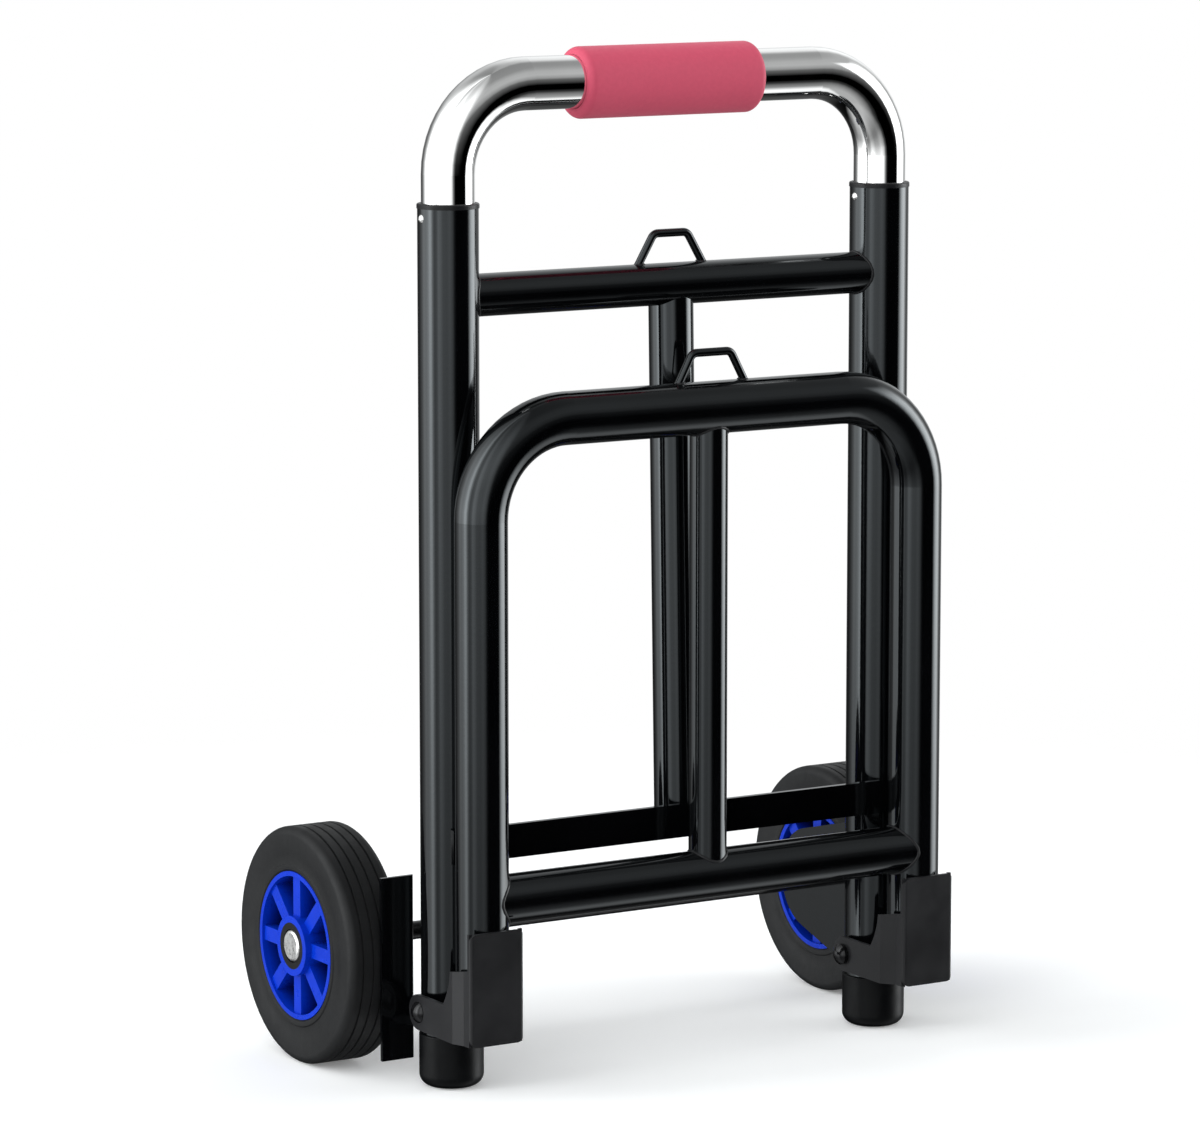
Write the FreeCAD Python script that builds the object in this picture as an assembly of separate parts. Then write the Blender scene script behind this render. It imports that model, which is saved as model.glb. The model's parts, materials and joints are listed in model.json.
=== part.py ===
import FreeCAD, Part
import math
import os

# Folding luggage cart, folded for storage: platform up against the uprights, handle pushed in.
# Millimetres, +Z up, X across the cart, -Y the platform side, +Y the wheel side.
# Everything is drawn with Y = 0 on the plane of the uprights; save() then moves it all so that
# the origin is at the middle of the bounding box, on the floor.

V = FreeCAD.Vector
X_AXIS = V(1, 0, 0)
SIDES = (-1, 1)          # left, right

# ---- driving dimensions -------------------------------------------------------------------
FIT = 0.1                # running clearance on a radius

UPRIGHT_X = 134.0        # distance of each upright's axis from the middle
UPRIGHT_R = 16.0
UPRIGHT_WALL = 1.0
UPRIGHT_BOTTOM = 3.0
UPRIGHT_TOP = 463.0
UPRIGHT_BORE_R = UPRIGHT_R - UPRIGHT_WALL

BUSH_FLANGE_R = 16.3
BUSH_FLANGE_T = 2.6
BUSH_SLEEVE_L = 24.0
BUSH_RIVET_Z = UPRIGHT_TOP - 5.0

HANDLE_R = 14.0
HANDLE_WALL = 1.2
HANDLE_TOP = 525.5       # axis of the hand bar with the handle pushed in
HANDLE_BEND_R = 45.0
HANDLE_LEG_END = 90.0
HANDLE_TRAVEL = 320.0
GRIP_R = 18.9
GRIP_FROM, GRIP_TO = -59.0, 50.5
GRIP_LIP_R = 3.6

BUTTON_Z = 112.0         # height of the snap buttons with the handle pushed in
BUTTON_R = 3.5
BUTTON_TIP = UPRIGHT_BORE_R - 0.3

UPPER_BAR_Z = 417.0
UPPER_BAR_R = 11.2
CENTRE_TUBE_R = 12.0
CENTRE_TUBE_X = 3.2
CENTRE_TUBE_Y = (-4.0, 3.0)   # axis at the flat bar and at the upper crossbar
TUBE_WALL = 1.2

FLAT_BAR_Z = (122.0, 140.0)
FLAT_BAR_T = 3.0
FLAT_BAR_HALF = 143.0

FOOT_R = 17.1
FOOT_TOP = 28.5
FOOT_EDGE_R = 6.5

HOOK_WIRE_R = 2.2
UPPER_HOOK = dict(x=1.0, base=20.8, top=10.3, height=18.0)
PLATFORM_HOOK = dict(x=4.5, base=21.1, top=11.8, height=17.5)

PIVOT_Z = 41.0           # the platform folds about a bolt through each upright
PIVOT_BOLT_R = 4.0

PLATFORM_X = 135.4       # platform legs
PLATFORM_Y = -35.4
PLATFORM_R = 14.0
PLATFORM_TOP = 354.5
PLATFORM_BEND_R = 50.0
PLATFORM_LEG_END = 66.0
LOWER_BAR_Z = 104.7
LOWER_BAR_R = 13.0
FRONT_TUBE_X = 3.0
FRONT_TUBE_R = 10.2

BRACKET_T = 2.0
BRACKET_WEB_HALF = 16.0
BRACKET_FRONT = PLATFORM_Y - PLATFORM_R - BRACKET_T + 0.4
BRACKET_BOTTOM = 31.5
BRACKET_WEB_TOP = 91.4
BRACKET_CHEEK_TOP = 71.5
EAR_R = 9.5
EAR_INNER_HALF = 18.2
FLARE_Y = (-43.5, -36.5)   # where the cheeks widen, to clear the foot cap when folded down

WHEEL_R = 64.0
WHEEL_Y = 84.0
WHEEL_X = 166.5          # middle of each tyre
TYRE_HALF = 16.5
RIM_R = 40.0
RIM_HALF = 16.0
RIM_WALL = 2.6
HUB_R = 16.2
HUB_INNER_END = -14.5    # ends of the hub along the axle, from the middle of the tyre
HUB_OUTER_END = 18.0
BUSH_R = 9.0
BUSH_HEAD_R = 12.6
BUSH_HEAD_T = 7.0
SPOKES = 8
SPOKE_HALF = 3.9
AXLE_R = 5.0

PLATE_X = (147.0, 166.7)  # axle bracket: inner face of its cheek, outer edge of its flange
PLATE_FRONT = 16.3
PLATE_Z = (12.5, 111.0)
PLATE_T = 2.0
CHEEK_R = 29.0           # round end of the cheek that carries the axle
TAB_X = 137.0            # the tab reaches this far inwards across the back of the upright
TAB_Z = (29.5, 44.5)

CAP_NUT_R = 8.6          # each cap nut sits in a recess in the hub bush
NUT_RECESS_R = 9.0
NUT_RECESS_DEPTH = 5.0
NUT_SEAT = WHEEL_X + HUB_OUTER_END - NUT_RECESS_DEPTH
AXLE_WASHER_T = 1.0
CAP_NUT_END = WHEEL_X + HUB_OUTER_END + 0.6
AXLE_END = CAP_NUT_END - 2.0

BOX_MID_Y = (BRACKET_FRONT + WHEEL_Y + WHEEL_R) / 2


# ---- helpers ------------------------------------------------------------------------------
def rod(start, end, radius):
    along = end.sub(start)
    return Part.makeCylinder(radius, along.Length, start, along)


def pipe(start, end, radius, wall):
    return rod(start, end, radius).cut(rod(start, end, radius - wall))


def box(x_range, y_range, z_range):
    size = [b - a for a, b in (x_range, y_range, z_range)]
    return Part.makeBox(*size, V(x_range[0], y_range[0], z_range[0]))


def rounded_path(points, radius):
    """Straight runs through the points, joined by tangent arcs of one radius."""
    edges = []
    here = points[0]
    for before, corner, after in zip(points, points[1:], points[2:]):
        back = before.sub(corner).normalize()
        ahead = after.sub(corner).normalize()
        half_angle = back.getAngle(ahead) / 2
        reach = radius / math.tan(half_angle)
        first = corner.add(V(back).multiply(reach))
        last = corner.add(V(ahead).multiply(reach))
        bisector = back.add(ahead).normalize()
        middle = corner.add(V(bisector).multiply(radius / math.sin(half_angle) - radius))
        edges.append(Part.makeLine(here, first))
        edges.append(Part.Arc(first, middle, last).toShape())
        here = last
    edges.append(Part.makeLine(here, points[-1]))
    return Part.Wire(edges)


def sweep_round(path, radius):
    start = path.Edges[0].valueAt(path.Edges[0].FirstParameter)
    direction = path.Edges[0].tangentAt(path.Edges[0].FirstParameter)
    section = Part.Wire(Part.makeCircle(radius, start, direction))
    return path.makePipeShell([section], True, False)


def bent_tube(points, bend_radius, radius, wall):
    path = rounded_path(points, bend_radius)
    return sweep_round(path, radius).cut(sweep_round(path, radius - wall))


def lathe(profile, centre):
    """Turn a closed (x, r) outline about the X axis through a point."""
    points = [V(x, r, 0) for x, r in profile]
    face = Part.Face(Part.makePolygon(points + points[:1]))
    face.translate(centre)
    return face.revolve(centre, X_AXIS, 360)


def around(solid, centre, count):
    """Copies of a solid, evenly spaced about the X axis through a point."""
    copies = []
    for step in range(count):
        turned = solid.copy()
        turned.rotate(centre, X_AXIS, 360.0 * step / count)
        copies.append(turned)
    return copies


def mirror(shape):
    return shape.mirror(V(0, 0, 0), X_AXIS)


def save(name, *solids):
    solids = [solid for shape in solids for solid in shape.Solids]
    shape = solids[0] if len(solids) == 1 else Part.makeCompound(solids)
    shape = shape.copy()
    shape.translate(V(0, -BOX_MID_Y, 0))
    shape.exportStep("parts/" + name + ".step")


def save_pair(name, make):
    """The right-hand piece is made; the left-hand one is its mirror image."""
    right = make()
    save(name + "_right", right)
    save(name + "_left", mirror(right))


# ---- frame --------------------------------------------------------------------------------
def upright():
    tube = pipe(V(UPRIGHT_X, 0, UPRIGHT_BOTTOM), V(UPRIGHT_X, 0, UPRIGHT_TOP),
                UPRIGHT_R, UPRIGHT_WALL)
    reach = V(UPRIGHT_R + 5, 0, 0)
    pivot = V(UPRIGHT_X, 0, PIVOT_Z)
    tube = tube.cut(rod(pivot.sub(reach), pivot.add(reach), PIVOT_BOLT_R + 0.05))
    rivet = V(UPRIGHT_X, 0, BUSH_RIVET_Z)
    tube = tube.cut(rod(rivet.sub(reach), rivet.add(reach), 1.5))
    for height in (BUTTON_Z, BUTTON_Z + HANDLE_TRAVEL):
        hole = rod(V(UPRIGHT_X, 5, height), V(UPRIGHT_X, 25, height), BUTTON_R + 0.3)
        tube = tube.cut(hole)
    return tube


def guide_bush():
    """A flanged plastic sleeve that centres the handle leg in the top of the upright."""
    flange_from = V(UPRIGHT_X, 0, UPRIGHT_TOP)
    flange_to = V(UPRIGHT_X, 0, UPRIGHT_TOP + BUSH_FLANGE_T)
    flange = rod(flange_from, flange_to, BUSH_FLANGE_R)
    top_edges = [edge for edge in flange.Edges if edge.BoundBox.ZMin > flange_to.z - 0.1]
    flange = flange.makeFillet(0.9, top_edges)
    sleeve_end = V(UPRIGHT_X, 0, UPRIGHT_TOP - BUSH_SLEEVE_L)
    bush = flange.fuse(rod(sleeve_end, flange_from, UPRIGHT_BORE_R)).removeSplitter()
    bush = bush.cut(rod(sleeve_end, flange_to, HANDLE_R + FIT))
    rivet = V(UPRIGHT_X, 0, BUSH_RIVET_Z)
    reach = V(UPRIGHT_R, 0, 0)
    return bush.cut(rod(rivet.sub(reach), rivet.add(reach), 1.5))


def bush_rivets():
    """Blind rivets through the upright's wall into the guide bush, one on each side."""
    rivets = []
    for side in SIDES:
        for way in (-1, 1):
            wall = side * UPRIGHT_X + way * UPRIGHT_R
            shank_end = V(side * UPRIGHT_X + way * (HANDLE_R + 0.35), 0, BUSH_RIVET_Z)
            shank = rod(shank_end, V(wall, 0, BUSH_RIVET_Z), 1.5)
            head = Part.makeSphere(2.6, V(wall - way * 1.4, 0, BUSH_RIVET_Z))
            tube = rod(V(side * UPRIGHT_X, 0, 440), V(side * UPRIGHT_X, 0, 480), UPRIGHT_R)
            rivets.append(shank.fuse(head.cut(tube)))
    return rivets


def foot_cap():
    bottom = V(UPRIGHT_X, 0, 0)
    cap = rod(bottom, V(UPRIGHT_X, 0, FOOT_TOP), FOOT_R)
    lower = [edge for edge in cap.Edges if edge.BoundBox.ZMax < 0.1]
    cap = cap.makeFillet(FOOT_EDGE_R, lower)
    upper = [edge for edge in cap.Edges if edge.BoundBox.ZMin > FOOT_TOP - 0.1]
    cap = cap.makeFillet(0.8, upper)
    return cap.cut(rod(V(UPRIGHT_X, 0, UPRIGHT_BOTTOM), V(UPRIGHT_X, 0, FOOT_TOP + 1), UPRIGHT_R))


def coped_bar(height, y, radius, post_x, post_radius):
    """A cross tube whose ends are cut to sit against the two posts it is welded to."""
    bar = pipe(V(-post_x, y, height), V(post_x, y, height), radius, TUBE_WALL)
    for side in SIDES:
        below = V(side * post_x, y, height - 2 * radius)
        above = V(side * post_x, y, height + 2 * radius)
        bar = bar.cut(rod(below, above, post_radius))
    return bar


def rear_centre_tube():
    """Stiffener from the upper crossbar down to the back of the flat bar; it leans a little."""
    foot_y, top_y = CENTRE_TUBE_Y
    foot = V(CENTRE_TUBE_X, foot_y, FLAT_BAR_Z[0])
    top = V(CENTRE_TUBE_X, top_y, UPPER_BAR_Z - UPPER_BAR_R / 2)
    tube = pipe(foot, top, CENTRE_TUBE_R, TUBE_WALL)
    tube = tube.cut(rod(V(-30, 0, UPPER_BAR_Z), V(30, 0, UPPER_BAR_Z), UPPER_BAR_R))
    return tube.cut(lower_flat_bar())


def lower_flat_bar():
    front = -UPRIGHT_R - FLAT_BAR_T
    return box((-FLAT_BAR_HALF, FLAT_BAR_HALF), (front, -UPRIGHT_R), FLAT_BAR_Z)


def cord_hook(hook, y, bar_height, bar_radius):
    """A bent wire loop welded on top of a cross tube, for an elastic cord."""
    foot = bar_height + bar_radius - 2
    top = bar_height + bar_radius + hook["height"] - HOOK_WIRE_R
    x, base, narrow = hook["x"], hook["base"], hook["top"]
    points = [V(x - base, y, foot), V(x - narrow, y, top), V(x + narrow, y, top), V(x + base, y, foot)]
    wire = sweep_round(rounded_path(points, 4.5), HOOK_WIRE_R)
    return wire.cut(rod(V(x - 40, y, bar_height), V(x + 40, y, bar_height), bar_radius))


def pivot_bolt():
    ear_outer = EAR_INNER_HALF + BRACKET_T
    start = V(UPRIGHT_X - ear_outer - 3.2, 0, PIVOT_Z)
    seat = V(UPRIGHT_X + ear_outer + 0.2, 0, PIVOT_Z)
    bolt = rod(start, seat, PIVOT_BOLT_R)
    dome = Part.makeSphere(7.0, V(seat.x - 4.0, 0, PIVOT_Z))
    dome = dome.common(rod(seat, V(seat.x + 6, 0, PIVOT_Z), 5.7))
    return bolt.fuse(dome)


def pivot_nut():
    """Low cap nut on the inboard end of the pivot bolt."""
    seat = V(UPRIGHT_X - EAR_INNER_HALF - BRACKET_T - 0.2, 0, PIVOT_Z)
    dome = Part.makeSphere(7.0, V(seat.x + 2.0, 0, PIVOT_Z))
    dome = dome.common(rod(seat, V(seat.x - 6, 0, PIVOT_Z), 5.7))
    return dome.cut(rod(seat, V(seat.x - 3.0, 0, PIVOT_Z), PIVOT_BOLT_R))


def pivot_washers():
    """Plastic spacers between each upright and the two ears that straddle it."""
    washers = []
    for side in SIDES:
        for way in (-1, 1):
            start = V(side * UPRIGHT_X + way * UPRIGHT_R, 0, PIVOT_Z)
            end = V(side * UPRIGHT_X + way * (EAR_INNER_HALF - FIT), 0, PIVOT_Z)
            washers.append(rod(start, end, 8.0).cut(rod(start, end, PIVOT_BOLT_R)))
    return washers


def touching_point(corner):
    """Where a line from a front corner of the cheek touches its round end."""
    axle = V(corner.x, WHEEL_Y, WHEEL_R)
    away = axle.sub(corner)
    turn = math.asin(CHEEK_R / away.Length)
    if corner.z < axle.z:
        turn = -turn
    slope = math.atan2(away.z, away.y) + turn
    reach = math.sqrt(away.Length ** 2 - CHEEK_R ** 2)
    return corner.add(V(0, reach * math.cos(slope), reach * math.sin(slope)))


def axle_bracket():
    """Pressed angle behind the upright: a tapering cheek beside the wheel carries the axle, a
    flange stands in front of the tyre, and a low tab is welded to the back of the upright."""
    inner, outer = PLATE_X
    low, high = PLATE_Z
    bottom = V(inner, PLATE_FRONT, low)
    top = V(inner, PLATE_FRONT, high)
    upper = touching_point(top)
    lower = touching_point(bottom)
    back = V(inner, WHEEL_Y + CHEEK_R, WHEEL_R)
    edges = [Part.makeLine(bottom, top), Part.makeLine(top, upper),
             Part.Arc(upper, back, lower).toShape(), Part.makeLine(lower, bottom)]
    cheek = Part.Face(Part.Wire(edges)).extrude(V(PLATE_T, 0, 0))
    flange = box((inner, outer), (PLATE_FRONT, PLATE_FRONT + PLATE_T), (low, high))
    angle = flange.fuse(cheek).removeSplitter()
    bend = [edge for edge in angle.Edges
            if edge.BoundBox.ZLength > 50 and edge.BoundBox.YMax < PLATE_FRONT + 0.01
            and edge.BoundBox.XMax < inner + 0.01]
    angle = angle.makeFillet(1.8, bend)
    tab = box((TAB_X, inner + PLATE_T / 2), (5, PLATE_FRONT + PLATE_T), TAB_Z)
    tab = tab.cut(rod(V(UPRIGHT_X, 0, 0), V(UPRIGHT_X, 0, 80), UPRIGHT_R))
    axle_hole = rod(V(inner - 1, WHEEL_Y, WHEEL_R), V(outer + 1, WHEEL_Y, WHEEL_R), AXLE_R)
    return angle.fuse(tab).removeSplitter().cut(axle_hole)


def axle():
    return rod(V(-AXLE_END, WHEEL_Y, WHEEL_R), V(AXLE_END, WHEEL_Y, WHEEL_R), AXLE_R)


def axle_ring(start, end, radius):
    return rod(V(start, WHEEL_Y, WHEEL_R), V(end, WHEEL_Y, WHEEL_R), radius).cut(axle())


def axle_spacers():
    """Rings on the axle between each bracket and the wheel hub."""
    right = axle_ring(PLATE_X[0] + PLATE_T, WHEEL_X + HUB_INNER_END - FIT, 8.5)
    return right, mirror(right)


def axle_washers():
    right = axle_ring(NUT_SEAT + FIT, NUT_SEAT + FIT + AXLE_WASHER_T, CAP_NUT_R)
    return right, mirror(right)


def axle_cap_nuts():
    seat = NUT_SEAT + FIT + AXLE_WASHER_T
    cap = rod(V(seat, WHEEL_Y, WHEEL_R), V(CAP_NUT_END, WHEEL_Y, WHEEL_R), CAP_NUT_R)
    outer_edge = [edge for edge in cap.Edges if edge.BoundBox.XMin > CAP_NUT_END - 0.1]
    right = cap.makeFillet(1.6, outer_edge).cut(axle())
    return right, mirror(right)


# ---- handle -------------------------------------------------------------------------------
def handle_tube():
    points = [V(-UPRIGHT_X, 0, HANDLE_LEG_END), V(-UPRIGHT_X, 0, HANDLE_TOP),
              V(UPRIGHT_X, 0, HANDLE_TOP), V(UPRIGHT_X, 0, HANDLE_LEG_END)]
    tube = bent_tube(points, HANDLE_BEND_R, HANDLE_R, HANDLE_WALL)
    for side in SIDES:
        hole = rod(V(side * UPRIGHT_X, 5, BUTTON_Z), V(side * UPRIGHT_X, 20, BUTTON_Z), BUTTON_R + FIT)
        tube = tube.cut(hole)
    return tube


def grip():
    bar = rod(V(GRIP_FROM, 0, HANDLE_TOP), V(GRIP_TO, 0, HANDLE_TOP), GRIP_R)
    ends = [edge for edge in bar.Edges if edge.BoundBox.XLength < 0.1]
    bar = bar.makeFillet(GRIP_LIP_R, ends)
    return bar.cut(rod(V(GRIP_FROM, 0, HANDLE_TOP), V(GRIP_TO, 0, HANDLE_TOP), HANDLE_R))


def leg_slider():
    """Plastic plug in the end of the handle leg; its head runs in the bore of the upright."""
    end = V(UPRIGHT_X, 0, HANDLE_LEG_END)
    head = rod(V(UPRIGHT_X, 0, HANDLE_LEG_END - 12), end, UPRIGHT_BORE_R - FIT)
    spigot = rod(end, V(UPRIGHT_X, 0, HANDLE_LEG_END + 9), HANDLE_R - HANDLE_WALL)
    plug = head.fuse(spigot)
    return plug.cut(rod(V(UPRIGHT_X, 0, HANDLE_LEG_END - 12), V(UPRIGHT_X, 0, HANDLE_LEG_END + 9), 6.0))


def snap_button():
    """Round button with a collar that stays inside the handle leg."""
    collar = rod(V(UPRIGHT_X, 6.2, BUTTON_Z), V(UPRIGHT_X, 7.6, BUTTON_Z), 4.8)
    stem = rod(V(UPRIGHT_X, 7.6, BUTTON_Z), V(UPRIGHT_X, BUTTON_TIP, BUTTON_Z), BUTTON_R)
    tip = [edge for edge in stem.Edges if edge.BoundBox.YMin > BUTTON_TIP - 0.1]
    return collar.fuse(stem.makeFillet(1.2, tip))


def snap_spring():
    """Leaf spring bent to a U, with one limb behind the button and one on the far wall."""
    near, far, thick, half_width = 6.0, -11.6, 0.8, 3.0
    radius = (near - far) / 2
    centre = (near + far) / 2
    outer = [V(0, near, BUTTON_Z + 8), V(0, near, BUTTON_Z), V(0, centre, BUTTON_Z - radius),
             V(0, far, BUTTON_Z), V(0, far, BUTTON_Z + 16)]
    inner = [V(0, near - thick, BUTTON_Z + 8), V(0, near - thick, BUTTON_Z),
             V(0, centre, BUTTON_Z - radius + thick), V(0, far + thick, BUTTON_Z),
             V(0, far + thick, BUTTON_Z + 16)]
    edges = [Part.makeLine(outer[0], outer[1]), Part.Arc(outer[1], outer[2], outer[3]).toShape(),
             Part.makeLine(outer[3], outer[4]), Part.makeLine(outer[4], inner[4]),
             Part.makeLine(inner[4], inner[3]), Part.Arc(inner[3], inner[2], inner[1]).toShape(),
             Part.makeLine(inner[1], inner[0]), Part.makeLine(inner[0], outer[0])]
    strip = Part.Face(Part.Wire(edges)).extrude(V(2 * half_width, 0, 0))
    strip.translate(V(UPRIGHT_X - half_width, 0, 0))
    return strip


# ---- platform -----------------------------------------------------------------------------
def platform_frame():
    points = [V(-PLATFORM_X, PLATFORM_Y, PLATFORM_LEG_END), V(-PLATFORM_X, PLATFORM_Y, PLATFORM_TOP),
              V(PLATFORM_X, PLATFORM_Y, PLATFORM_TOP), V(PLATFORM_X, PLATFORM_Y, PLATFORM_LEG_END)]
    return bent_tube(points, PLATFORM_BEND_R, PLATFORM_R, TUBE_WALL)


def platform_centre_tube():
    tube = pipe(V(FRONT_TUBE_X, PLATFORM_Y, LOWER_BAR_Z), V(FRONT_TUBE_X, PLATFORM_Y, PLATFORM_TOP),
                FRONT_TUBE_R, TUBE_WALL)
    for height, radius in ((LOWER_BAR_Z, LOWER_BAR_R), (PLATFORM_TOP, PLATFORM_R)):
        tube = tube.cut(rod(V(-40, PLATFORM_Y, height), V(40, PLATFORM_Y, height), radius))
    return tube


def bracket_plan(inset, back):
    """Plan outline of the hinge bracket: a narrow web that flares out to two ears."""
    web = BRACKET_WEB_HALF - inset
    ear = EAR_INNER_HALF + BRACKET_T - inset
    front = BRACKET_FRONT + inset
    flare_from, flare_to = FLARE_Y
    half = [(PLATFORM_X + web, front), (PLATFORM_X + web, flare_from), (UPRIGHT_X + ear, flare_to),
            (UPRIGHT_X + ear, back)]
    other = [(UPRIGHT_X - ear, back), (UPRIGHT_X - ear, flare_to), (PLATFORM_X - web, flare_from),
             (PLATFORM_X - web, front)]
    points = [V(x, y, 0) for x, y in half + other]
    return Part.Face(Part.makePolygon(points + points[:1])).extrude(V(0, 0, 120))


def round_web_corners(bracket):
    """Takes the sharp corners off the flat web, seen from the front."""
    corner_r = 4.0
    left, right = PLATFORM_X - BRACKET_WEB_HALF, PLATFORM_X + BRACKET_WEB_HALF
    for x, z, x_way, z_way in ((left, BRACKET_BOTTOM, 1, 1), (right, BRACKET_BOTTOM, -1, 1),
                               (left, BRACKET_WEB_TOP, 1, -1), (right, BRACKET_WEB_TOP, -1, -1)):
        middle = V(x + x_way * corner_r, BRACKET_FRONT - 1, z + z_way * corner_r)
        square = box(sorted((x - x_way, middle.x)), (BRACKET_FRONT - 1, BRACKET_FRONT + BRACKET_T),
                     sorted((z - z_way, middle.z)))
        disc = Part.makeCylinder(corner_r, BRACKET_T + 1, middle, V(0, 1, 0))
        bracket = bracket.cut(square.cut(disc))
    return bracket


def hinge_bracket():
    """Pressed sheet: the flat web closes the front, the cheeks run back to the pivot ears."""
    front, pivot = BRACKET_FRONT, V(0, 0, PIVOT_Z)
    shelf = front + BRACKET_T + 1.5
    ear_top = V(0, 0, PIVOT_Z + EAR_R)
    ear_back = V(0, EAR_R, PIVOT_Z)
    ear_low = V(0, 0, PIVOT_Z - EAR_R)
    neck = V(0, -26.5, PIVOT_Z + EAR_R)
    shoulder = V(0, -34.0, BRACKET_CHEEK_TOP - 2)
    waist = V(0, -31.2, PIVOT_Z + EAR_R + 8)
    lines = [V(0, front, BRACKET_BOTTOM), V(0, front, BRACKET_WEB_TOP), V(0, shelf, BRACKET_WEB_TOP),
             V(0, shelf, BRACKET_CHEEK_TOP), shoulder]
    edges = [Part.makeLine(a, b) for a, b in zip(lines, lines[1:])]
    edges.append(Part.Arc(shoulder, waist, neck).toShape())
    edges.append(Part.makeLine(neck, ear_top))
    edges.append(Part.Arc(ear_top, ear_back, ear_low).toShape())
    edges.append(Part.makeLine(ear_low, lines[0]))
    side_view = Part.Face(Part.Wire(edges)).extrude(V(UPRIGHT_X + 60, 0, 0))
    shell = bracket_plan(0, EAR_R + 1).cut(bracket_plan(BRACKET_T, EAR_R + 5))
    bends = [edge for edge in shell.Edges
             if edge.BoundBox.ZLength > 100 and abs(edge.BoundBox.YMax - front) < 0.01]
    bracket = shell.makeFillet(1.9, bends).common(side_view)
    hole_end = V(UPRIGHT_X + 40, 0, PIVOT_Z)
    bracket = bracket.cut(rod(pivot, hole_end, PIVOT_BOLT_R + FIT))
    bracket = round_web_corners(bracket)
    legs = rod(V(PLATFORM_X, PLATFORM_Y, 0), V(PLATFORM_X, PLATFORM_Y, 120), PLATFORM_R)
    return bracket.cut(legs)


# ---- wheels -------------------------------------------------------------------------------
def wheel_centre():
    return V(WHEEL_X, WHEEL_Y, WHEEL_R)


def tyre():
    """Solid tyre: rounded shoulders, flat sidewalls and four shallow tread grooves."""
    groove_at = (-9.0, -3.0, 3.0, 9.0)
    half_groove, depth = 0.7, 1.0
    shoulder = 4.5
    ring = lathe([(-TYRE_HALF, RIM_R), (-TYRE_HALF, WHEEL_R), (TYRE_HALF, WHEEL_R), (TYRE_HALF, RIM_R)],
                 wheel_centre())
    outer = [edge for edge in ring.Edges
             if edge.BoundBox.ZLength > 2 * WHEEL_R - 1 and edge.BoundBox.XLength < 0.1]
    ring = ring.makeFillet(shoulder, outer)
    inner = [edge for edge in ring.Edges
             if edge.BoundBox.ZLength < 2 * RIM_R + 1 and edge.BoundBox.XLength < 0.1]
    ring = ring.makeFillet(1.5, inner)
    for at in groove_at:
        cutter = lathe([(at - half_groove, WHEEL_R - depth), (at - half_groove, WHEEL_R + 5),
                        (at + half_groove, WHEEL_R + 5), (at + half_groove, WHEEL_R - depth)],
                       wheel_centre())
        ring = ring.cut(cutter)
    return ring


def rim():
    """Moulded rim: barrel, hub, closed centre web and eight spoke ribs on both faces."""
    centre = wheel_centre()
    web_half, rib_half = 3.5, RIM_HALF - 1.5
    barrel_in = RIM_R - RIM_WALL
    head_from = HUB_OUTER_END - BUSH_HEAD_T
    barrel = lathe([(-RIM_HALF, barrel_in), (-RIM_HALF, RIM_R), (RIM_HALF, RIM_R),
                    (RIM_HALF, barrel_in)], centre)
    hub = lathe([(HUB_INNER_END, BUSH_R), (HUB_INNER_END, HUB_R), (HUB_OUTER_END, HUB_R),
                 (HUB_OUTER_END, BUSH_HEAD_R), (head_from, BUSH_HEAD_R), (head_from, BUSH_R)], centre)
    web = lathe([(-web_half, HUB_R - 1), (-web_half, barrel_in + 1), (web_half, barrel_in + 1),
                 (web_half, HUB_R - 1)], centre)
    rib = box((WHEEL_X - rib_half, WHEEL_X + rib_half), (WHEEL_Y - SPOKE_HALF, WHEEL_Y + SPOKE_HALF),
              (WHEEL_R + HUB_R - 1, WHEEL_R + barrel_in + 1))
    whole = barrel.multiFuse([hub, web] + around(rib, centre, SPOKES))
    return whole.removeSplitter()


def hub_bush():
    """Plastic bearing sleeve in the hub; its head is recessed for the cap nut."""
    bore = AXLE_R + FIT
    head_from = HUB_OUTER_END - BUSH_HEAD_T
    recess = HUB_OUTER_END - NUT_RECESS_DEPTH
    return lathe([(HUB_INNER_END, bore), (HUB_INNER_END, BUSH_R), (head_from, BUSH_R),
                  (head_from, BUSH_HEAD_R), (HUB_OUTER_END, BUSH_HEAD_R), (HUB_OUTER_END, NUT_RECESS_R),
                  (recess, NUT_RECESS_R), (recess, bore)], wheel_centre())


# ---- write the parts ----------------------------------------------------------------------
os.makedirs("parts", exist_ok=True)

save_pair("upright", upright)
save_pair("guide_bush", guide_bush)
save_pair("foot_cap", foot_cap)
save_pair("axle_bracket", axle_bracket)
save_pair("pivot_bolt", pivot_bolt)
save_pair("pivot_nut", pivot_nut)
save("pivot_washers", *pivot_washers())
save("bush_rivets", *bush_rivets())
save("upper_crossbar", coped_bar(UPPER_BAR_Z, 0, UPPER_BAR_R, UPRIGHT_X, UPRIGHT_R))
save("upper_cord_hook", cord_hook(UPPER_HOOK, 0, UPPER_BAR_Z, UPPER_BAR_R))
save("rear_centre_tube", rear_centre_tube())
save("lower_flat_bar", lower_flat_bar())
save("axle", axle())
save("axle_spacers", *axle_spacers())
save("axle_washers", *axle_washers())
save("axle_cap_nuts", *axle_cap_nuts())

save("handle_tube", handle_tube())
save("grip", grip())
save_pair("leg_slider", leg_slider)
save_pair("snap_button", snap_button)
save_pair("snap_spring", snap_spring)

save("platform_frame", platform_frame())
save("platform_crossbar", coped_bar(LOWER_BAR_Z, PLATFORM_Y, LOWER_BAR_R, PLATFORM_X, PLATFORM_R))
save("platform_centre_tube", platform_centre_tube())
save("platform_cord_hook", cord_hook(PLATFORM_HOOK, PLATFORM_Y, PLATFORM_TOP, PLATFORM_R))
save_pair("hinge_bracket", hinge_bracket)

save_pair("tyre", tyre)
save_pair("rim", rim)
save_pair("hub_bush", hub_bush)
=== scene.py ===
import json
import math

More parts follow.
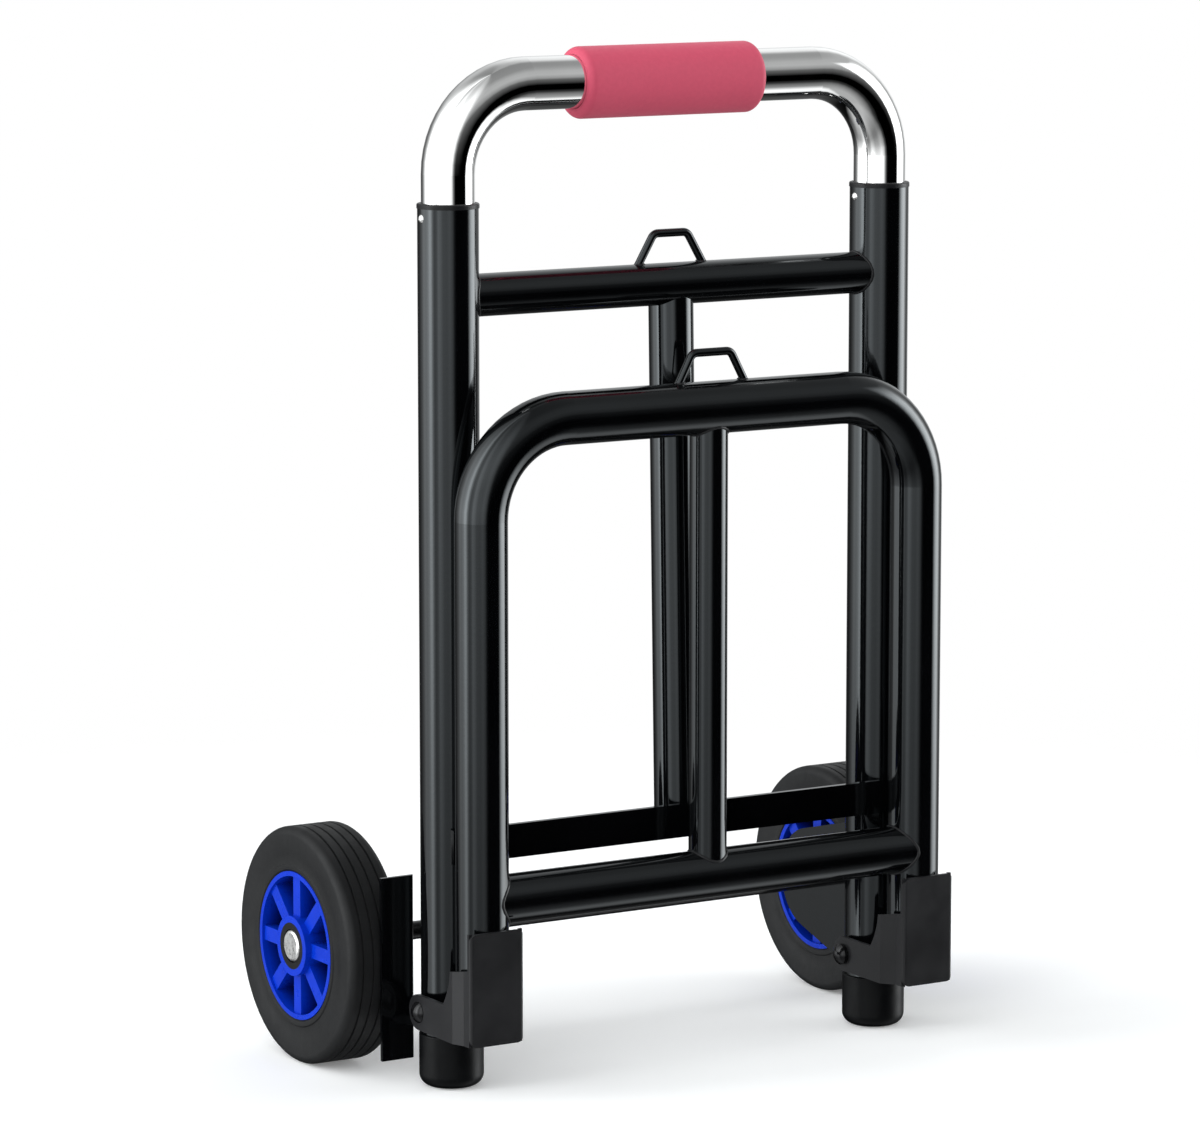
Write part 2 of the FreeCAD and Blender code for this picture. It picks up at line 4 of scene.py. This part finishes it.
import bpy
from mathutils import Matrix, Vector


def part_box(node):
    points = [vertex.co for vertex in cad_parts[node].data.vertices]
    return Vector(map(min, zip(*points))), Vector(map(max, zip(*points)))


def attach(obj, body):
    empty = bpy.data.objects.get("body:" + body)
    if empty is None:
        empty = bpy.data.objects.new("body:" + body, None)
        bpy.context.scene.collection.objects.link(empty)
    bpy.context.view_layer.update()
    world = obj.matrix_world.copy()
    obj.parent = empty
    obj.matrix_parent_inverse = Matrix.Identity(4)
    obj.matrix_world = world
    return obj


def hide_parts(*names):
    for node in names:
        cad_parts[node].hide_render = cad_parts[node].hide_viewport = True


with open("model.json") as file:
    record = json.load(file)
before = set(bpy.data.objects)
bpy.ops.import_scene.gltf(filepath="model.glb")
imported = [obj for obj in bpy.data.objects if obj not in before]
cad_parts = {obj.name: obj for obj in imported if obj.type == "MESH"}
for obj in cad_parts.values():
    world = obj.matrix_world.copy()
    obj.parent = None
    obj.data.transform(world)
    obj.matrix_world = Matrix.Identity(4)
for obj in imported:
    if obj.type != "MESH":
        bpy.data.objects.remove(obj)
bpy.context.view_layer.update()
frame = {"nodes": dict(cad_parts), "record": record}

# Folding luggage cart: materials, soft and moulded pieces, weld beads, studio and camera.
# Metres, +Z up, +X across the cart, -Y the platform side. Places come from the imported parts.

NODES = frame["nodes"]


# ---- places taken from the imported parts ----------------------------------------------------
def middle(node):
    low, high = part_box(node)
    return (Vector(low) + Vector(high)) / 2


def size(node):
    low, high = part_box(node)
    return Vector(high) - Vector(low)


SIDES = (("left", -1), ("right", 1))
POST_X = middle("upright_right").x          # axis of each upright
POST_Y = middle("upright_right").y
POST_R = size("upright_right").x / 2
LEG_R = size("platform_frame").y / 2        # the platform's bent tube
LEG_X = size("platform_frame").x / 2 - LEG_R
LEG_Y = middle("platform_frame").y
PLATFORM_BAR_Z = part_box("platform_frame")[1][2] - LEG_R
WHEEL_X = middle("tyre_right").x            # middle plane of each wheel
POCKET_FLOOR = 0.0035                       # distances of the rim's faces from that plane
RIM_FACE = 0.0135
PAINTED_POCKET_SHADE = 0.22                         # painted shade: brightness of a pocket's floor beside the rim's face, darkening the recesses


# ---- node materials ------------------------------------------------------------------------
def shader(material):
    return material.node_tree.nodes["Principled BSDF"]


def new_material(name, **values):
    """A Principled material; the given sockets hold values that are the same all over."""
    made = bpy.data.materials.new(name)
    made.use_nodes = True
    for socket, value in values.items():
        shader(made).inputs[socket.replace("_", " ")].default_value = value
    return made


def add(material, kind, **values):
    node = material.node_tree.nodes.new(kind)
    for socket, value in values.items():
        node.inputs[socket.replace("_", " ")].default_value = value
    return node


def link(material, source, output, target, socket):
    material.node_tree.links.new(source.outputs[output], target.inputs[socket])


def maths(material, operation, source, output, second=0.0):
    node = add(material, "ShaderNodeMath")
    node.operation = operation
    node.inputs[1].default_value = second
    link(material, source, output, node, 0)
    return node


def object_noise(material, scale, detail=4.0, stretch=(1, 1, 1)):
    """Noise in the object's own metres; a stretch under 1 draws it out along that axis."""
    place = add(material, "ShaderNodeTexCoord")
    mapping = add(material, "ShaderNodeMapping", Scale=stretch)
    noise = add(material, "ShaderNodeTexNoise", Scale=scale, Detail=detail, Roughness=0.55)
    link(material, place, "Object", mapping, "Vector")
    link(material, mapping, "Vector", noise, "Vector")
    return noise


def vary_colour(material, noise, dark, light):
    """Base colour that goes from dark to light over the middle of the noise's range."""
    ramp = add(material, "ShaderNodeValToRGB")
    first, last = ramp.color_ramp.elements
    first.position, last.position = 0.35, 0.65
    first.color, last.color = (*dark, 1), (*light, 1)
    link(material, noise, "Fac", ramp, "Fac")
    link(material, ramp, "Color", shader(material), "Base Color")
    return ramp


def vary_roughness(material, noise, low, high):
    spread = add(material, "ShaderNodeMapRange", From_Min=0.3, From_Max=0.7, To_Min=low, To_Max=high)
    link(material, noise, "Fac", spread, "Value")
    link(material, spread, "Result", shader(material), "Roughness")


def bump(material, noise, strength, distance):
    made = add(material, "ShaderNodeBump", Strength=strength, Distance=distance)
    link(material, noise, "Fac", made, "Height")
    link(material, made, "Normal", shader(material), "Normal")


def gloss_black():
    made = new_material("gloss_black_enamel", IOR=1.5, Specular_Tint=(0.90, 0.965, 1.0, 1))
    vary_colour(made, object_noise(made, 14), (0.0007, 0.0008, 0.0010), (0.0014, 0.0015, 0.0019))
    vary_roughness(made, object_noise(made, 40, stretch=(1, 1, 0.25)), 0.05, 0.11)
    bump(made, object_noise(made, 420, detail=2), 0.05, 0.0002)
    return made


def satin_black():
    made = new_material("satin_black_enamel", IOR=1.5, Specular_IOR_Level=0.2)
    vary_colour(made, object_noise(made, 30), (0.0105, 0.0105, 0.0115), (0.0140, 0.0140, 0.0152))
    vary_roughness(made, object_noise(made, 60), 0.30, 0.42)
    bump(made, object_noise(made, 1400, detail=3), 0.12, 0.0002)
    return made


def chrome():
    made = new_material("bright_chrome", Metallic=1.0)
    vary_colour(made, object_noise(made, 20), (0.875, 0.865, 0.855), (0.935, 0.925, 0.915))
    vary_roughness(made, object_noise(made, 90, stretch=(1, 1, 0.2)), 0.03, 0.07)
    bump(made, object_noise(made, 160, detail=1), 0.02, 0.0002)
    return made


def zinc():
    made = new_material("zinc_plate", Metallic=1.0)
    vary_colour(made, object_noise(made, 160), (0.78, 0.775, 0.76), (0.92, 0.915, 0.90))
    vary_roughness(made, object_noise(made, 500), 0.22, 0.42)
    bump(made, object_noise(made, 900, detail=3), 0.15, 0.0003)
    return made


def black_oxide():
    made = new_material("black_oxide", Metallic=0.6, IOR=1.5)
    vary_colour(made, object_noise(made, 200), (0.006, 0.006, 0.0065), (0.014, 0.014, 0.015))
    vary_roughness(made, object_noise(made, 400), 0.12, 0.22)
    return made


def black_plastic():
    made = new_material("black_moulded_plastic", IOR=1.46, Specular_IOR_Level=0.25)
    vary_colour(made, object_noise(made, 60), (0.004, 0.004, 0.0045), (0.007, 0.007, 0.008))
    vary_roughness(made, object_noise(made, 200), 0.30, 0.45)
    bump(made, object_noise(made, 2200, detail=2), 0.15, 0.0002)
    return made


def cap_rubber():
    made = new_material("foot_cap_rubber", IOR=1.48, Specular_IOR_Level=0.12)
    vary_colour(made, object_noise(made, 45), (0.0012, 0.0014, 0.0018), (0.0022, 0.0025, 0.0030))
    vary_roughness(made, object_noise(made, 120), 0.34, 0.48)
    bump(made, object_noise(made, 1500, detail=3), 0.18, 0.0002)
    return made


def tyre_rubber():
    made = new_material("tyre_rubber", IOR=1.48, Specular_IOR_Level=0.2)
    vary_colour(made, object_noise(made, 35, detail=6), (0.0085, 0.0087, 0.0092), (0.0115, 0.0118, 0.0124))
    vary_roughness(made, object_noise(made, 120, detail=5), 0.46, 0.62)
    bump(made, object_noise(made, 1300, detail=4), 0.25, 0.0003)
    return made


def blue_plastic():
    """Bright blue with painted shade: the floors of the pockets, towards the middle of the wheel, are
    darker.
    """
    made = new_material("blue_moulded_plastic", IOR=1.47, Specular_IOR_Level=0.15)
    ramp = vary_colour(made, object_noise(made, 50), (0.0008, 0.0255, 0.395), (0.0014, 0.0300, 0.450))
    # Painted shade: the base colour darkens from the rim's face down to each pocket's floor, by depth from
    # the wheel's middle plane.
    place = add(made, "ShaderNodeTexCoord")
    parts = add(made, "ShaderNodeSeparateXYZ")
    link(made, place, "Object", parts, "Vector")
    across = maths(made, "ABSOLUTE", parts, "X")
    from_middle = maths(made, "SUBTRACT", across, "Value", WHEEL_X)
    depth = maths(made, "ABSOLUTE", from_middle, "Value")
    shade = add(made, "ShaderNodeMapRange",
                From_Min=POCKET_FLOOR, From_Max=RIM_FACE, To_Min=PAINTED_POCKET_SHADE, To_Max=1.0)
    link(made, depth, "Value", shade, "Value")
    darker = add(made, "ShaderNodeVectorMath")
    darker.operation = "SCALE"
    link(made, ramp, "Color", darker, 0)
    link(made, shade, "Result", darker, "Scale")
    link(made, darker, "Vector", shader(made), "Base Color")
    vary_roughness(made, object_noise(made, 150), 0.24, 0.36)
    bump(made, object_noise(made, 900, detail=3), 0.08, 0.0003)
    return made


def pink_foam():
    """Closed-cell foam: very fine cells under an even, soft-looking colour."""
    made = new_material("pink_foam", IOR=1.40, Specular_IOR_Level=0.35, Sheen_Weight=0.08,
                        Sheen_Roughness=0.35)
    vary_colour(made, object_noise(made, 420, detail=3), (0.548, 0.070, 0.124), (0.572, 0.074, 0.130))
    vary_roughness(made, object_noise(made, 300), 0.55, 0.68)
    bump(made, object_noise(made, 2600, detail=2), 0.22, 0.0002)
    return made


MATERIALS = {
    "gloss_black_tube": gloss_black(),
    "satin_black_sheet": satin_black(),
    "chrome_tube": chrome(),
    "pink_foam": pink_foam(),
    "black_plastic": black_plastic(),
    "black_rubber": cap_rubber(),
    "tyre_rubber": tyre_rubber(),
    "blue_plastic": blue_plastic(),
    "black_washer": black_oxide(),
    "zinc_steel": zinc(),
}
MATERIALS["black_wire"] = MATERIALS["gloss_black_tube"]


def dress(obj, slot):
    obj.data.materials.clear()
    obj.data.materials.append(MATERIALS[slot])


def dress_cad_nodes():
    slots = {part["node"]: part["material_slot"] for part in frame["record"]["subparts"]}
    for name, obj in NODES.items():
        dress(obj, slots[name])


# ---- mesh building -------------------------------------------------------------------------
def add_object(name, data):
    obj = bpy.data.objects.new(name, data)
    bpy.context.scene.collection.objects.link(obj)
    return obj


def make_piece(name, points, faces, slot, body, smooth_below):
    """A piece that rides on a body; edges that turn by under smooth_below degrees look smooth."""
    mesh = bpy.data.meshes.new(name)
    mesh.from_pydata([tuple(point) for point in points], [], faces)
    mesh.validate()
    mesh.shade_smooth()
    mesh.set_sharp_from_angle(angle=math.radians(smooth_below))
    obj = add_object(name, mesh)
    dress(obj, slot)
    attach(obj, body)
    return obj


def full_turn(steps):
    """The angles of equal steps round a circle."""
    return [2 * math.pi * step / steps for step in range(steps)]


def revolve_about_x(profile, centre, steps):
    """Points and faces of a closed (x, r) outline turned about the X axis through centre.

    The outline runs from its +x side over the outside to its -x side."""
    points = []
    for turn in full_turn(steps):
        for x, r in profile:
            points.append(centre + Vector((x, r * math.cos(turn), r * math.sin(turn))))
    faces = []
    count = len(profile)
    for step in range(steps):
        this, following = step * count, (step + 1) % steps * count
        for k in range(count):
            k_next = (k + 1) % count
            faces.append((this + k, this + k_next, following + k_next, following + k))
    return points, faces


def arc(centre_x, centre_r, radius, start, end, steps):
    """Points of an arc in the (x, r) plane; angles in degrees, 0 along +x, 90 outwards."""
    made = []
    for step in range(steps + 1):
        turn = math.radians(start + (end - start) * step / steps)
        made.append((centre_x + radius * math.cos(turn), centre_r + radius * math.sin(turn)))
    return made


# ---- foam grip -----------------------------------------------------------------------------
GRIP_SAG = 0.0006      # the foam is a little thicker below the bar than above it
GRIP_LIP_R = 0.0006    # rounding where each end meets the bar


def foam_grip():
    """Thick foam sleeve with rolled ends, sagging slightly under the hand bar."""
    centre = middle("grip")
    half = size("grip").x / 2
    radius = size("grip").z / 2
    bore = size("handle_tube").y / 2
    roll = radius - bore - GRIP_LIP_R
    profile = arc(half - GRIP_LIP_R, bore + GRIP_LIP_R, GRIP_LIP_R, -90, 0, 6)
    profile += arc(half - roll, radius - roll, roll, 0, 90, 16)[1:]
    steps = 24
    for step in range(1, steps):
        profile.append(((half - roll) * (1 - 2 * step / steps), radius))
    profile += arc(-half + roll, radius - roll, roll, 90, 180, 16)
    profile += arc(-half + GRIP_LIP_R, bore + GRIP_LIP_R, GRIP_LIP_R, 180, 270, 6)[1:]
    points, faces = revolve_about_x(profile, centre, 128)
    sagged = []
    for point in points:
        offset = point - centre
        share = (math.hypot(offset.y, offset.z) - bore) / (radius - bore)
        sagged.append(point - Vector((0, 0, GRIP_SAG * share)))
    grip = make_piece("foam_grip", sagged, faces, "pink_foam", "handle", 60)
    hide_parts("grip")


# ---- tyres ---------------------------------------------------------------------------------
TREAD_GROOVES = (0.0090, 0.0030)         # distances from the middle plane, on both sides of it
GROOVE_HALF, GROOVE_DEPTH = 0.0007, 0.0011
SHOULDER_R = 0.0045
RIM_RING = (0.0022, 0.0034)              # heights of the raised ring above the rim
SUNK_BAND, BAND_DEPTH = (0.0040, 0.0090), 0.0006


def tyre_profile(half, radius, inner):
    """Raised ring, sunk band, rounded shoulder and half the grooved tread, then their mirror."""
    right = [(half - 0.0012, inner), (half - 0.0002, inner + 0.0010)]
    right += [(half, inner + height) for height in RIM_RING]
    right += [(half - BAND_DEPTH, inner + height) for height in SUNK_BAND]
    right.append((half - BAND_DEPTH / 2, inner + SUNK_BAND[1] + 0.0010))
    right += arc(half - SHOULDER_R, radius - SHOULDER_R, SHOULDER_R, 0, 90, 14)
    floor_half = GROOVE_HALF * 0.6
    for at in TREAD_GROOVES:
        right += [(at + GROOVE_HALF, radius), (at + floor_half, radius - GROOVE_DEPTH),
                  (at - floor_half, radius - GROOVE_DEPTH), (at - GROOVE_HALF, radius)]
    return right + [(-x, r) for x, r in reversed(right)]


def tyres():
    for side in ("left", "right"):
        centre = middle("tyre_" + side)
        radius = size("tyre_" + side).z / 2
        half = size("tyre_" + side).x / 2
        inner = size("rim_" + side).z / 2
        points, faces = revolve_about_x(tyre_profile(half, radius, inner), centre, 192)
        tyre = make_piece("tyre_moulding_" + side, points, faces, "tyre_rubber", "wheel_" + side, 35)
        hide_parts("tyre_" + side)


# ---- weld beads ----------------------------------------------------------------------------
BEAD_R = 0.0009
BEAD_SIDES = 10        # points round a bead's section
BEAD_FLATNESS = 0.8    # how far a bead stands out, as a share of its half width


def bead(name, line, normals, body, radius=BEAD_R, closed=True):
    """A rippled weld bead laid along a line of points; an open one has thin ends."""
    count = len(line)
    points = []
    for k, point in enumerate(line):
        before = line[(k - 1) % count] if closed or k > 0 else point
        after = line[(k + 1) % count] if closed or k < count - 1 else point
        along = (after - before).normalized()
        out = normals[k].normalized()
        side = along.cross(out).normalized()
        ripple = radius * (1 + 0.10 * math.sin(k * 2.1) + 0.05 * math.sin(k * 0.7))
        if not closed and k in (0, count - 1):
            ripple *= 0.35
        for turn in full_turn(BEAD_SIDES):
            sideways = side * ripple * math.cos(turn)
            points.append(point + sideways + out * ripple * BEAD_FLATNESS * math.sin(turn))
    faces = []
    for k in range(count if closed else count - 1):
        this, following = k * BEAD_SIDES, (k + 1) % count * BEAD_SIDES
        for step in range(BEAD_SIDES):
            step_next = (step + 1) % BEAD_SIDES
            faces.append((this + step, this + step_next, following + step_next, following + step))
    if not closed:
        faces.append(tuple(reversed(range(BEAD_SIDES))))
        faces.append(tuple(range((count - 1) * BEAD_SIDES, count * BEAD_SIDES)))
    make_piece(name, points, faces, "satin_black_sheet", body, 70)


def crossbar_beads(name, node, post_x, y, post_r, body):
    """Beads where a cross tube along X meets its two vertical posts."""
    z = middle(node).z
    bar_r = size(node).z / 2
    for side, sign in SIDES:
        line, normals = [], []
        for turn in full_turn(72):
            across, up = bar_r * math.cos(turn), bar_r * math.sin(turn)
            reach = math.sqrt(post_r ** 2 - min(abs(across), post_r * 0.999) ** 2)
            line.append(Vector((sign * (post_x - reach), y + across, z + up)))
            normals.append(Vector((-sign * 0.8, math.cos(turn), math.sin(turn))))
        bead(f"{name}_{side}", line, normals, body)


def upright_tube_bead(name, x, y, tube_r, bar_z, bar_r, way, body):
    """Bead where a vertical tube meets a cross tube above (way 1) or below it (way -1)."""
    line, normals = [], []
    for turn in full_turn(64):
        along, across = tube_r * math.cos(turn), tube_r * math.sin(turn)
        reach = math.sqrt(max(bar_r ** 2 - across ** 2, (0.25 * bar_r) ** 2))
        line.append(Vector((x + along, y + across, bar_z - way * reach)))
        normals.append(Vector((math.cos(turn), math.sin(turn), -way * 0.8)))
    bead(name, line, normals, body)


def hook_beads(name, node, bar_top, body):
    """Small beads where the two feet of a wire hook stand on its tube."""
    wire_r = size(node).y / 2
    foot_x = size(node).x / 2 - wire_r * 1.4
    for side, sign in SIDES:
        foot = Vector((middle(node).x + sign * foot_x, middle(node).y, bar_top - 0.0004))
        line, normals = [], []
        for turn in full_turn(28):
            out = Vector((math.cos(turn), math.sin(turn), 0))
            line.append(foot + out * (wire_r + 0.0002))
            normals.append(out + Vector((0, 0, 0.8)))
        bead(f"{name}_{side}", line, normals, body, 0.0010)


def flat_bar_beads():
    """Vertical beads behind the flat bar, on both sides of each upright it crosses."""
    offset = 0.0062
    y = POST_Y - math.sqrt(POST_R ** 2 - offset ** 2) - 0.0002
    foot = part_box("lower_flat_bar")[0][2] + 0.001
    length = size("lower_flat_bar").z - 0.002
    steps = 14
    for side, sign in SIDES:
        for edge, way in (("inner", -1), ("outer", 1)):
            x = sign * (POST_X + way * offset)
            line = [Vector((x, y, foot + length * k / steps)) for k in range(steps + 1)]
            normals = [Vector((sign * way, 0.4, 0))] * len(line)
            bead(f"weld_flat_bar_{side}_{edge}", line, normals, "frame", 0.0012, closed=False)


def welds():
    crossbar_beads("weld_upper_crossbar", "upper_crossbar", POST_X, POST_Y, POST_R, "frame")
    crossbar_beads("weld_platform_crossbar", "platform_crossbar", LEG_X, LEG_Y, LEG_R, "platform")
    tube_x = middle("platform_centre_tube").x
    tube_r = size("platform_centre_tube").x / 2
    bar_z = middle("platform_crossbar").z
    bar_r = size("platform_crossbar").z / 2
    upright_tube_bead("weld_centre_tube_top", tube_x, LEG_Y, tube_r, PLATFORM_BAR_Z, LEG_R, 1, "platform")
    upright_tube_bead("weld_centre_tube_foot", tube_x, LEG_Y, tube_r, bar_z, bar_r, -1, "platform")
    hook_beads("weld_platform_hook", "platform_cord_hook", PLATFORM_BAR_Z + LEG_R, "platform")
    upper_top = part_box("upper_crossbar")[1][2]
    hook_beads("weld_upper_hook", "upper_cord_hook", upper_top, "frame")
    flat_bar_beads()


# ---- edges ---------------------------------------------------------------------------------
def soften_edges(width, names):
    """Pressed and cut steel has slightly broken edges."""
    for name in names:
        made = NODES[name].modifiers.new("broken_edges", "BEVEL")
        made.width = width
        made.segments = 2
        made.limit_method = "ANGLE"
        made.angle_limit = math.radians(50)
        made.harden_normals = False


# ---- studio --------------------------------------------------------------------------------
CAMERA_AZIMUTH = math.radians(31.2)     # the camera stands this far round to the cart's left
CAMERA_DISTANCE = 2.846                 # from the middle of the uprights, along the floor
CAMERA_SIDE = 0.0363                    # its step to the left of that line
CAMERA_HEIGHT = 0.6996
CAMERA_PITCH = math.radians(8.708)
CAMERA_LENS = 161.94


TOWARDS_CAMERA = (-math.sin(CAMERA_AZIMUTH), -math.cos(CAMERA_AZIMUTH), 0)
RIGHT_OF_CAMERA = (math.cos(CAMERA_AZIMUTH), -math.sin(CAMERA_AZIMUTH), 0)


def camera():
    data = bpy.data.cameras.new("camera")
    data.lens = CAMERA_LENS
    data.sensor_width = 36.0
    data.clip_end = 60.0
    obj = add_object("camera", data)
    sin_a, cos_a = math.sin(CAMERA_AZIMUTH), math.cos(CAMERA_AZIMUTH)
    obj.location = (-CAMERA_SIDE * cos_a - CAMERA_DISTANCE * sin_a,
                    POST_Y + CAMERA_SIDE * sin_a - CAMERA_DISTANCE * cos_a, CAMERA_HEIGHT)
    obj.rotation_euler = (math.pi / 2 - CAMERA_PITCH, 0, -CAMERA_AZIMUTH)
    bpy.context.scene.camera = obj


# Brightness of the studio seen from the cart, in (degrees, brightness) steps. The *_ROUND lists
# go round the horizon, to the right of the camera; the others from straight down to straight up.
LEFT_ROUND = ((-180, 0.5), (-165, 0.1), (-140, 0.05), (-125, 0.3), (-113, 0.8), (-101, 1.9),
              (-89, 2.2), (-79, 3.2), (-73, 5.0), (-66, 4.8), (-60, 2.2), (-52, 0.9), (-43, 1.1),
              (-35, 2.0), (-27, 1.7), (-18, 1.1), (-4, 1.0), (8, 1.2), (17, 0.8), (25, 0.12), (32, 0.0),
              (140, 0.0), (160, 0.6), (180, 0.5))
LEFT_RISE = ((-90, 0.0), (-40, 0.1), (-25, 0.2), (-15, 0.45), (-12, 0.6), (-9, 0.9), (-5, 1.3),
             (0, 1.4), (30, 1.1), (50, 0.7), (70, 0.3), (90, 0.2))
STRIP_ROUND = ((-180, 0.0), (81, 0.0), (86, 2.0), (93, 5.0), (99, 6.6), (112, 6.6), (118, 4.0),
               (126, 1.2), (138, 0.2), (180, 0.0))
STRIP_RISE = ((-90, 0.0), (-30, 0.2), (-12, 0.7), (-8, 1.0), (0, 1.2), (22, 1.0), (38, 0.0), (90, 0.0))
FLOOR_ROUND = ((-180, 0.0), (-135, 0.0), (-98, 1.0), (98, 1.0), (135, 0.0), (180, 0.0))
FLOOR_RISE = ((-90, 0.5), (-56, 0.47), (-46, 0.33), (-38, 0.2), (-30, 0.04), (-22, 0.0), (90, 0.0))
TOP_RISE = ((-90, 0.0), (-4, 0.0), (14, 0.13), (20, 0.33), (32, 0.5), (45, 0.47), (60, 0.3), (90, 0.25))


class Studio:
    """World nodes: white for the camera, and the lists above for every other ray."""

    def __init__(self):
        made = bpy.data.worlds.new("studio")
        made.use_nodes = True
        bpy.context.scene.world = made
        self.nodes, self.links = made.node_tree.nodes, made.node_tree.links
        self.place = self.nodes.new("ShaderNodeTexCoord")

    def maths(self, operation, *sources):
        node = self.nodes.new("ShaderNodeMath")
        node.operation = operation
        for k, source in enumerate(sources):
            if isinstance(source, (int, float)):
                node.inputs[k].default_value = source
            else:
                self.links.new(source, node.inputs[k])
        return node.outputs[0]

    def part_along(self, way):
        """How far the looked-along direction goes along a unit vector."""
        node = self.nodes.new("ShaderNodeVectorMath")
        node.operation = "DOT_PRODUCT"
        node.inputs[1].default_value = way
        self.links.new(self.place.outputs["Generated"], node.inputs[0])
        return node.outputs["Value"]

    def brightness(self, angle, stops):
        """Brightness interpolated between (degrees, brightness) stops; angle is in radians."""
        first, last = stops[0][0], stops[-1][0]
        peak = max(value for degrees, value in stops)
        spread = self.nodes.new("ShaderNodeMapRange")
        spread.inputs["From Min"].default_value = math.radians(first)
        spread.inputs["From Max"].default_value = math.radians(last)
        self.links.new(angle, spread.inputs["Value"])
        ramp = self.nodes.new("ShaderNodeValToRGB")
        elements = ramp.color_ramp.elements
        while len(elements) < len(stops):
            elements.new(0.5)
        for element, (degrees, value) in zip(elements, stops):
            element.position = (degrees - first) / (last - first)
            element.color = (value / peak, value / peak, value / peak, 1)
        self.links.new(spread.outputs["Result"], ramp.inputs["Fac"])
        return self.maths("MULTIPLY", ramp.outputs["Color"], peak)

    def build(self):
        beta = self.maths("ARCTAN2", self.part_along(RIGHT_OF_CAMERA), self.part_along(TOWARDS_CAMERA))
        rise = self.maths("ARCSINE", self.part_along((0, 0, 1)))
        parts = [self.brightness(rise, TOP_RISE)]
        for around, upwards in ((LEFT_ROUND, LEFT_RISE), (STRIP_ROUND, STRIP_RISE),
                                (FLOOR_ROUND, FLOOR_RISE)):
            parts.append(self.maths("MULTIPLY", self.brightness(beta, around),
                                    self.brightness(rise, upwards)))
        total = self.maths("ADD", self.maths("ADD", parts[0], parts[1]),
                           self.maths("ADD", parts[2], parts[3]))
        room = self.nodes.new("ShaderNodeBackground")
        room.inputs["Color"].default_value = (0.965, 0.99, 1.0, 1)
        self.links.new(total, room.inputs["Strength"])
        seen = self.nodes["Background"]
        seen.inputs["Color"].default_value = (1, 1, 1, 1)
        path = self.nodes.new("ShaderNodeLightPath")
        mix = self.nodes.new("ShaderNodeMixShader")
        self.links.new(path.outputs["Is Camera Ray"], mix.inputs["Fac"])
        self.links.new(room.outputs["Background"], mix.inputs[1])
        self.links.new(seen.outputs["Background"], mix.inputs[2])
        self.links.new(mix.outputs["Shader"], self.nodes["World Output"].inputs["Surface"])


SOFTBOX_SIDE, SOFTBOX_HEIGHT, SOFTBOX_WATTS = 2.4, 2.8, 6


def top_softbox():
    data = bpy.data.lights.new("top_softbox", "AREA")
    data.shape = "SQUARE"
    data.size = SOFTBOX_SIDE
    data.energy = SOFTBOX_WATTS
    obj = add_object("top_softbox", data)
    obj.location = (0, 0, SOFTBOX_HEIGHT)
    obj.visible_camera = False
    obj.visible_glossy = False


FLOOR_HALF = 3.0
FLOOR_FADE = (0.35, 0.95)      # the floor goes from solid to clear between these distances


def floor():
    """A white floor under the cart that fades into the white surroundings."""
    mesh = bpy.data.meshes.new("floor")
    corners = [(x * FLOOR_HALF, y * FLOOR_HALF, 0) for x, y in ((-1, -1), (1, -1), (1, 1), (-1, 1))]
    mesh.from_pydata(corners, [], [(0, 1, 2, 3)])
    obj = add_object("floor", mesh)
    made = new_material("pale_floor", Roughness=0.9, Emission_Color=(1, 1, 1, 1), Emission_Strength=0.15)
    vary_colour(made, object_noise(made, 3), (0.93, 0.93, 0.93), (0.95, 0.95, 0.95))
    place = add(made, "ShaderNodeTexCoord")
    reach = add(made, "ShaderNodeVectorMath")
    reach.operation = "LENGTH"
    fade = add(made, "ShaderNodeMapRange", From_Min=FLOOR_FADE[0], From_Max=FLOOR_FADE[1])
    fade.interpolation_type = "SMOOTHSTEP"
    clear = add(made, "ShaderNodeBsdfTransparent")
    mix = add(made, "ShaderNodeMixShader")
    link(made, place, "Object", reach, 0)
    link(made, reach, "Value", fade, "Value")
    link(made, fade, "Result", mix, "Fac")
    link(made, shader(made), "BSDF", mix, 1)
    link(made, clear, "BSDF", mix, 2)
    link(made, mix, "Shader", made.node_tree.nodes["Material Output"], "Surface")
    mesh.materials.append(made)
    obj.visible_glossy = False


# ---- build ---------------------------------------------------------------------------------
dress_cad_nodes()
foam_grip()
tyres()
welds()
soften_edges(0.0003, ("hinge_bracket_left", "hinge_bracket_right", "axle_bracket_left",
                      "axle_bracket_right", "lower_flat_bar"))
camera()
Studio().build()
top_softbox()
floor()
bpy.context.scene.view_settings.view_transform = "Standard"
